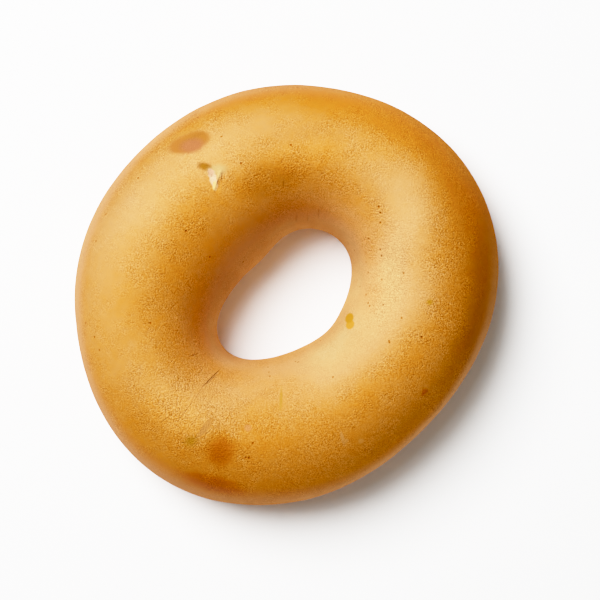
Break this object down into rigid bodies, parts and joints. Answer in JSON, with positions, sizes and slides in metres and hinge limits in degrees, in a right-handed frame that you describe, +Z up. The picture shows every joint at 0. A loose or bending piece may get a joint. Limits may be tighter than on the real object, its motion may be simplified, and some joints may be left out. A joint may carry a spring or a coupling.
{
  "type": "bagel",
  "caption": "Plain bagel: a domed ring of boiled and baked bread with a flat underside and a slanted oval hole.",
  "frame": {"origin": "on the surface that the bagel rests on, under the middle of its outline", "axes": "+Z up through the crown; +X to the right and +Y away from the viewer as seen from above; the hole's long axis runs 43 degrees from +X towards +Y"},
  "size_m": [0.11, 0.109, 0.0365],
  "materials": {
    "crust": "golden brown crust, satin, paler round the hole"
  },
  "bodies": {
    "root": {"bagel": "crust"}
  },
  "joints": []
}
